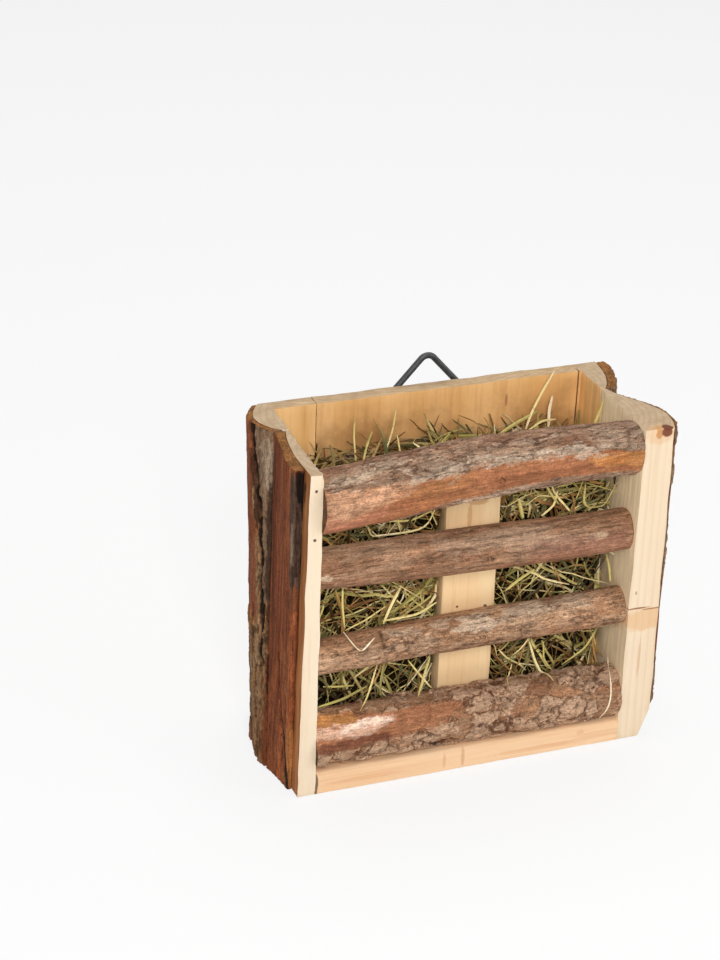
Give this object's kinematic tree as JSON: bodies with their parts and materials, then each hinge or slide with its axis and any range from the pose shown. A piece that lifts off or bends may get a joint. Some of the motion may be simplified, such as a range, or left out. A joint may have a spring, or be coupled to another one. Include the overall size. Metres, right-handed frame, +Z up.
{
  "type": "hay feeder box",
  "caption": "Hanging hay feeder box with bark-edged log slab sides, board back, natural rods across an open front with a centre slat, hay inside and a wire triangle hanger.",
  "frame": {"origin": "middle of the base, on the plane that the box stands on", "axes": "+X to the viewer's right along the rods, +Y from the open front to the back boards, +Z up"},
  "size_m": [0.2206, 0.1016, 0.2097],
  "materials": {
    "sawn_wood": "matte",
    "board_wood": "matte",
    "bark": "matte",
    "rod_bark": "matte",
    "nail_steel": "satin",
    "black_wire": "satin",
    "zinc_sheet": "satin",
    "hay": "matte"
  },
  "bodies": {
    "box": {"left_front_slab": "sawn_wood", "left_rear_slab": "sawn_wood", "right_front_slab": "sawn_wood", "right_rear_slab": "sawn_wood", "left_front_bark": "bark", "left_rear_bark": "bark", "right_front_bark": "bark", "right_rear_bark": "bark", "back_board_narrow": "board_wood", "back_board_wide": "board_wood", "bottom_board": "board_wood", "centre_slat": "sawn_wood", "top_rod": "rod_bark", "second_rod": "rod_bark", "third_rod": "rod_bark", "bottom_rail": "rod_bark", "rod_nails": "nail_steel", "slat_nails": "nail_steel", "bottom_nails": "nail_steel", "back_nails": "nail_steel", "hanger_strap": "zinc_sheet", "hanger_screws": "zinc_sheet"},
    "hanger": {"hanger_triangle": "black_wire"},
    "hay": {"hay": "hay"}
  },
  "joints": [
    {"name": "hanger_swing", "type": "hinge", "parent": "box", "child": "hanger", "pos_m": [0.0018, 0.04733, 0.1815], "axis": [-1, 0, 0], "range_deg": [0, 180]},
    {"name": "hay_lift", "type": "slide", "parent": "box", "child": "hay", "axis": [0, 0, 1], "range_m": [0, 0.2]}
  ]
}
